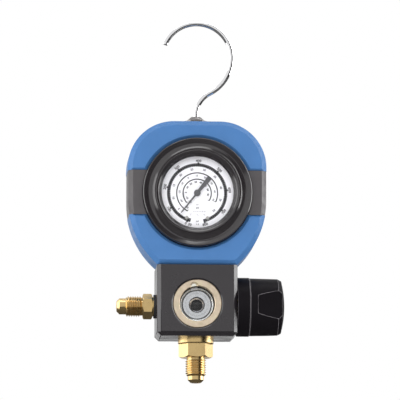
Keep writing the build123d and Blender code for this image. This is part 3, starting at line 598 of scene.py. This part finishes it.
# Heights stand out from the block's middle plane
CUP_FLOOR, DISH, RIM_TOP = 6.4, 9.6, 10.5
RIM_R, GROOVE = 9.35, DISH - 0.7
HOLE_EDGE_R, GROOVE_INSIDE_R, GROOVE_OUTSIDE_R = 4.2, 7.4, 7.98
GLASS_R, GLASS_TOP, GLASS_GAP = 9.3, 11.9, 0.05
SEAL_INSIDE_R, SEAL_OUTSIDE_R, SEAL_BACK, SEAL_FRONT = 9.45, 13.05, 11.05, 11.55
NOTCH_ANGLE, NOTCH_RADIUS = 101.0, 9.5
PIN_R, PIN_CHAMFER = 1.75, 0.3
PIN_FOOT, PIN_SIDE, PIN_TOP = 1.3, 0.95, 0.7  # how far behind the ring's front
KNURL_BARS, KNURL_STEP, KNURL_RADIUS, KNURL_BAR = 3, 3.6, 8.35, (0.34, 1.5, 0.5)


def make_sight_cup():
    """Bright insert behind the glass: a beaded rim, a turned dish with a fine ring, and a stepped hole."""
    rim = [(2.9, CUP_FLOOR), (RIM_R, CUP_FLOOR), (RIM_R, RIM_TOP - 0.6), (9.2, RIM_TOP - 0.2), (8.8, RIM_TOP),
           (8.4, RIM_TOP - 0.1), (8.1, RIM_TOP - 0.4), (7.9, GROOVE), (7.6, GROOVE)]
    dish = [(7.45, DISH), (6.3, DISH), (6.22, DISH - 0.12), (6.05, DISH - 0.12), (5.97, DISH),
            (5.0, DISH + 0.1), (4.3, DISH + 0.05)]
    hole = [(3.85, DISH - 0.6), (3.8, 7.4), (3.5, 7.2), (3.2, 7.4), (2.95, 7.1)]
    shape = spun(rim + dish + hole)
    for face in shape.faces:
        radius = hypot(*face.calc_center_median().xy)
        # Rim faces: polished, with a painted highlight in their lighter colour.
        if radius > GROOVE_OUTSIDE_R:
            face.material_index = 1
        elif radius < HOLE_EDGE_R:
            face.material_index = 2
        # Groove faces: coloured dark, a painted shade.
        elif radius > GROOVE_INSIDE_R:
            face.material_index = 3
    cup = piece("sight_cup_turned", shape, "body", "cup_steel", AT_SIGHT, stands_for=("sight_cup",),
                crease=45)
    for finish in (RIM_POLISH_AND_PAINTED_HIGHLIGHT, DEEP_STEEL, GROOVE_PAINTED_SHADE):
        cup.data.materials.append(finish)


def make_sight_glass():
    back = RIM_TOP + GLASS_GAP
    pane = spun([(0.0, back), (GLASS_R, back), (GLASS_R, GLASS_TOP - 0.2), (GLASS_R - 0.2, GLASS_TOP),
                 (0.0, GLASS_TOP)])
    piece("sight_glass_pane", pane, "body", "sight_glass", AT_SIGHT, stands_for=("sight_glass",))


def make_sight_gasket():
    seal = spun([(SEAL_INSIDE_R, SEAL_BACK), (SEAL_OUTSIDE_R, SEAL_BACK), (SEAL_OUTSIDE_R, SEAL_FRONT),
                 (SEAL_INSIDE_R, SEAL_FRONT)], steps=72)
    piece("sight_gasket_ring", seal, "body", "seal_rubber", AT_SIGHT, stands_for=("sight_gasket",))


def make_notch_pin():
    """The rounded pin in the ring's notch, cut to its outer half."""
    front = -low("sight_ring").y
    outward = Vector((cos(radians(NOTCH_ANGLE)), sin(radians(NOTCH_ANGLE)), 0))
    pin = spun([(0.0, front - PIN_FOOT), (PIN_R, front - PIN_FOOT), (PIN_R, front - PIN_SIDE),
                (PIN_R - PIN_CHAMFER, front - PIN_TOP), (0.0, front - PIN_TOP)], steps=40)
    cut = bmesh.ops.bisect_plane(pin, geom=everything(pin), plane_co=(0, 0, 0), plane_no=-outward,
                                 clear_outer=True)
    bmesh.ops.holes_fill(pin, edges=parts_of(cut["geom_cut"], bmesh.types.BMEdge), sides=0)
    bmesh.ops.translate(pin, vec=NOTCH_RADIUS * outward, verts=pin.verts)
    piece("sight_ring_pin", pin, "body", "ring_brass", AT_SIGHT, material=PALE_PIN)


def make_cup_knurl():
    """The short knurled strip below the pin."""
    strip = bmesh.new()
    for k in range(-KNURL_BARS, KNURL_BARS + 1):
        bar = bmesh.ops.create_cube(strip, size=1.0)["verts"]
        bmesh.ops.scale(strip, vec=KNURL_BAR, verts=bar)
        bmesh.ops.translate(strip, vec=(0, KNURL_RADIUS, GLASS_TOP + 0.3), verts=bar)
        turn = Matrix.Rotation(radians(NOTCH_ANGLE - 90 + KNURL_STEP * k), 4, "Z")
        bmesh.ops.transform(strip, matrix=turn, verts=bar)
    bmesh.ops.bevel(strip, geom=strip.edges[:], offset=0.08, offset_type="OFFSET", affect="EDGES", segments=1,
                    profile=0.5, material=-1)
    piece("sight_cup_knurl", strip, "body", "cup_steel", AT_SIGHT)


# ---------------------------------------------------------------- flare ports


THREAD_R, THREAD_ROOT_R, NOSE_R = 5.556, 4.87, 4.35
THREAD_PITCH, THREAD_SIDES = 1.27, 40
# Radius, and place along the pitch, of the points of one thread
THREAD_SECTION = ((THREAD_ROOT_R, 0.0), (THREAD_ROOT_R, 0.22), (THREAD_R, 0.54), (THREAD_R, 0.68),
                  (THREAD_ROOT_R, 1.0))
RELIEF_R, RELIEF_LENGTH = THREAD_R - 0.7, 0.6
FLARE_LENGTH = 1.5
# How far each port's hex reaches from the block, and how long its nose is
HEX_LENGTH = {"side_port": 7.1, "bottom_port": 10.4}
NOSE_LENGTH = {"side_port": 3.3, "bottom_port": 2.0}


def helix(start, end):
    """A V thread about Z: one pitch of the thread's section, screwed round and cut off square."""
    shape = bmesh.new()
    first = start - THREAD_PITCH
    verts = [shape.verts.new((r, 0, first + part * THREAD_PITCH)) for r, part in THREAD_SECTION]
    edges = [shape.edges.new(pair) for pair in zip(verts, verts[1:])]
    turns = (end - start) / THREAD_PITCH + 1
    bmesh.ops.spin(shape, geom=verts + edges, cent=(0, 0, 0), axis=(0, 0, 1), angle=2 * pi * turns,
                   dvec=(0, 0, THREAD_PITCH / THREAD_SIDES), steps=int(turns * THREAD_SIDES), use_merge=False)
    bmesh.ops.remove_doubles(shape, verts=shape.verts, dist=0.005)
    for level, side in ((start, -1), (end, 1)):
        bmesh.ops.bisect_plane(shape, geom=everything(shape), plane_co=(0, 0, level), plane_no=(0, 0, side),
                               clear_outer=True)
    return shape


def taper_ends(shape, start, end):
    """Turns the thread down at both ends: a lead from the relief groove, and a chamfer to the nose."""
    for v in shape.verts:
        radius = hypot(v.co.x, v.co.y)
        limit = max(NOSE_R, min(RELIEF_R + (v.co.z - start), NOSE_R + 1.5 * (end - v.co.z)))
        if radius > limit:
            v.co.xy *= limit / radius


def threaded_port(node, place, block_face, tip):
    """A flare port with a real thread in place of its plain cylinder; tip is how far it stands out."""
    start = block_face + HEX_LENGTH[node] + RELIEF_LENGTH
    end = tip - FLARE_LENGTH - NOSE_LENGTH[node]
    shape = merged_copy(node)
    bmesh.ops.transform(shape, matrix=place.inverted(), verts=shape.verts)
    for level in (start, end):
        bmesh.ops.bisect_plane(shape, geom=everything(shape), plane_co=(0, 0, level), plane_no=(0, 0, 1))
    plain = [f for f in shape.faces if start < f.calc_center_median().z < end
             and hypot(*f.calc_center_median().xy) > NOSE_R - 0.2]
    bmesh.ops.delete(shape, geom=plain, context="FACES")
    thread = helix(start, end)
    taper_ends(thread, start, end)
    add_to(shape, thread)
    piece(node + "_threaded", shape, "body", "port_brass", place, stands_for=(node,), crease=28)


def make_ports():
    threaded_port("side_port", AT_SIDE_PORT, BLOCK_SIDE, -low("side_port").x)
    threaded_port("bottom_port", DOWNWARD, BLOCK_BOTTOM, -low("bottom_port").z)


# ---------------------------------------------------------------- knob cap


CAP_RIDGES, RIDGE_RISE, RIDGE_SINK = 9, 0.1, 0.12
CAP_DOME, CAP_SPIGOT_R, CAP_EDGE = 1.6, 8.1, 0.25
CAP_RISE = 1.5  # how far the dome's arc rises, which sets its radius


def make_knob_cap():
    """Domed end cap with concentric ridges."""
    edge_r, base, top = high("knob_cap").y, low("knob_cap").x, high("knob_cap").x
    rim_r, shoulder = edge_r - 0.1, top - CAP_DOME
    dome_r = (edge_r**2 + CAP_RISE**2) / (2 * CAP_RISE)
    dome = arc_between((rim_r, shoulder), (0.0, top - RIDGE_SINK), dome_r, CAP_RIDGES * 4)
    ridged = [(r, z + (RIDGE_RISE if i % 4 in (1, 2) else -RIDGE_SINK)) for i, (r, z) in enumerate(dome)]
    ridged[0], ridged[-1] = dome[0], dome[-1]
    back = shoulder - CAP_EDGE
    profile = [(0.0, base), (CAP_SPIGOT_R, base), (CAP_SPIGOT_R, back), (rim_r, back)]
    piece("knob_cap_ridged", spun(profile + ridged, steps=80), "knob", "knob_black", AT_KNOB,
          stands_for=("knob_cap",), crease=25)


# ---------------------------------------------------------------- pointer


HUB_R, HUB_DOME_R = 1.75, 1.3
# How deep the hub stands in the pointer's face, and the heights of its side, shoulder and top above it
HUB_SINK, HUB_SIDE, HUB_SHOULDER, HUB_TOP = 0.1, 0.12, 0.32, 0.38


def make_pointer_hub():
    """A low domed cap over the end of the arbor."""
    face = -low("pointer").y
    shape = spun([(0.0, face - HUB_SINK), (HUB_R, face - HUB_SINK), (HUB_R, face + HUB_SIDE),
                  (HUB_DOME_R, face + HUB_SHOULDER), (0.0, face + HUB_TOP)], rounding=0.08, steps=48)
    piece("pointer_hub", shape, "pointer", "pointer_grey", AT_GAUGE)


# ---------------------------------------------------------------- studio


# The studio is laid out in metres and degrees
SUBJECT = Vector((0.0023, 0.0, -0.0953))
CAMERA_DISTANCE, CAMERA_LENS = 2.484, 414.0
CAMERA_SIDE, CAMERA_BELOW = 3.5, 8.35  # degrees to the left of straight ahead, and below level
FLOOR_Z, FLOOR_HALF = -0.75, 3.0
LAMP_DISTANCE, LOW_LAMP_DISTANCE = 1.6, 1.1
ROOM_GLOW = 0.4
# What polished surfaces see round the room: degrees from straight ahead towards the knob, and brightness
ROOM_MIRRORED = ((-180, 0.8), (-150, 0.9), (-132, 1.6), (-118, 1.6), (-100, 1.0), (-60, 0.8), (30, 0.8),
                 (36, 0.05), (62, 0.05), (70, 0.7), (86, 6.5), (100, 6.5), (110, 1.6), (132, 1.6), (150, 0.9),
                 (180, 0.8))
BRIGHTEST = 7.0
CARD_WIDTH, CARD_HEIGHT, CARD_TURN = 0.26, 0.13, 45
CARD_PLACE = (0.18, -0.17, 0.012)


def around(azimuth, elevation, distance=LAMP_DISTANCE):
    """A place round the subject: azimuth 0 is the dial's side and 90 the knob's, in degrees."""
    a, e = radians(azimuth), radians(elevation)
    return SUBJECT + distance * Vector((sin(a) * cos(e), -cos(a) * cos(e), sin(e)))


def area_lamp(name, place, size, radiance, mirrored=True):
    """A soft box aimed at the subject: its brightness is given as seen, whatever its size."""
    lamp = bpy.data.lights.new(name, "AREA")
    lamp.shape = "RECTANGLE"
    lamp.size, lamp.size_y = size
    lamp.energy = radiance * pi * size[0] * size[1]
    holder = bpy.data.objects.new(name, lamp)
    holder.location = place
    holder.rotation_euler = (SUBJECT - place).to_track_quat("-Z", "Y").to_euler()
    holder.visible_glossy = mirrored
    bpy.context.scene.collection.objects.link(holder)


def make_camera():
    data = bpy.data.cameras.new("camera")
    data.sensor_width = 36.0
    data.lens = CAMERA_LENS
    side, below = radians(CAMERA_SIDE), radians(CAMERA_BELOW)
    away = Vector((-sin(side) * cos(below), -cos(side) * cos(below), -sin(below)))
    camera = bpy.data.objects.new("camera", data)
    camera.location = SUBJECT + away * CAMERA_DISTANCE
    camera.rotation_euler = (-away).to_track_quat("-Z", "Y").to_euler()
    bpy.context.scene.collection.objects.link(camera)
    bpy.context.scene.camera = camera


def floor_paint():
    """A matt pale floor, painted dark where polished parts see it: a painted dark reflection."""
    material = bpy.data.materials.new("pale_floor")
    t = Tree(material)
    tone = t.ramp(t.noise(200.0), (0.3, (0.74,) * 3), (0.7, (0.76,) * 3))
    pale = t.add("BsdfDiffuse", Color=tone).outputs["BSDF"]
    # Painted dark reflection: polished parts see the floor in this dark colour instead of its pale one.
    dark = t.add("BsdfDiffuse", Color=(0.12, 0.12, 0.12, 1)).outputs["BSDF"]
    polish_sees = t.add("LightPath").outputs["Is Glossy Ray"]
    t.add("OutputMaterial", Surface=t.mix(polish_sees, pale, dark))
    return material


def studio_object(name, shape, material):
    """An object of the studio, in metres."""
    mesh = bpy.data.meshes.new(name)
    shape.to_mesh(mesh)
    shape.free()
    mesh.materials.append(material)
    thing = bpy.data.objects.new(name, mesh)
    bpy.context.scene.collection.objects.link(thing)
    return thing


def make_floor():
    shape = bmesh.new()
    bmesh.ops.create_grid(shape, x_segments=1, y_segments=1, size=FLOOR_HALF,
                          matrix=Matrix.Translation((0, 0, FLOOR_Z)))
    floor = studio_object("studio_floor", shape, floor_paint())


def make_dark_card():
    """A small black card in front and to the right of the hook, seen only in its polish."""
    shape = bmesh.new()
    bmesh.ops.create_grid(shape, x_segments=1, y_segments=1, size=0.5)
    bmesh.ops.scale(shape, vec=(CARD_WIDTH, CARD_HEIGHT, 1), verts=shape.verts)
    bmesh.ops.rotate(shape, matrix=Matrix.Rotation(radians(90), 3, "X"), verts=shape.verts)
    bmesh.ops.rotate(shape, matrix=Matrix.Rotation(radians(CARD_TURN), 3, "Z"), verts=shape.verts)
    bmesh.ops.translate(shape, vec=CARD_PLACE, verts=shape.verts)
    card = studio_object("dark_card", shape, solid("card_black", (0.01, 0.01, 0.01), 0.9, specular=0.0))
    card.visible_camera = card.visible_diffuse = card.visible_shadow = card.visible_transmission = False


def make_world():
    """An even room, plain white to the camera; polish sees lighter and darker stretches round it."""
    world = bpy.data.worlds.new("studio")
    bpy.context.scene.world = world
    t = Tree(world)

    def glow(strength):
        return t.add("Background", Color=(1, 1, 1, 1), Strength=strength).outputs["Background"]

    rays = t.add("LightPath").outputs
    way = t.add("SeparateXYZ", Vector=t.add("TexCoord").outputs["Generated"]).outputs
    azimuth = t.math("ARCTAN2", way["X"], t.math("MULTIPLY", way["Y"], -1.0))
    turn = t.add("MapRange", Value=azimuth, From_Min=-pi, From_Max=pi).outputs["Result"]
    shares = t.ramp(turn, *[(0.5 + angle / 360, (level / BRIGHTEST,) * 3) for angle, level in ROOM_MIRRORED])
    unseen = t.mix(rays["Is Glossy Ray"], glow(ROOM_GLOW), glow(t.math("MULTIPLY", shares, BRIGHTEST)))
    t.add("OutputWorld", Surface=t.mix(rays["Is Camera Ray"], unseen, glow(1.0)))


def make_studio():
    make_world()
    make_floor()
    make_dark_card()
    area_lamp("left_softbox", around(-88, 8), (1.7, 1.5), 1.8)
    area_lamp("right_softbox", around(94, 8), (0.4, 1.0), 6.0, mirrored=False)
    area_lamp("overhead_softbox", around(-20, 78), (1.3, 0.9), 2.2)
    area_lamp("front_fill", around(-6, 14), (1.3, 1.0), 2.2, mirrored=False)
    area_lamp("left_key", around(-42, 22), (0.8, 1.0), 2.2, mirrored=False)
    area_lamp("right_key", around(44, 26), (0.5, 0.6), 3.0, mirrored=False)
    area_lamp("low_fill", around(0, -30, LOW_LAMP_DISTANCE), (0.8, 0.5), 3.2, mirrored=False)
    bpy.context.scene.view_settings.view_transform = "Standard"


paint_cad_nodes()
make_hook()
make_rounded_copies()
make_bezel()
make_dial_print()
make_pointer_hub()
make_sight_cup()
make_sight_glass()
make_sight_gasket()
make_notch_pin()
make_cup_knurl()
make_ports()
make_knob_cap()
make_studio()
make_camera()
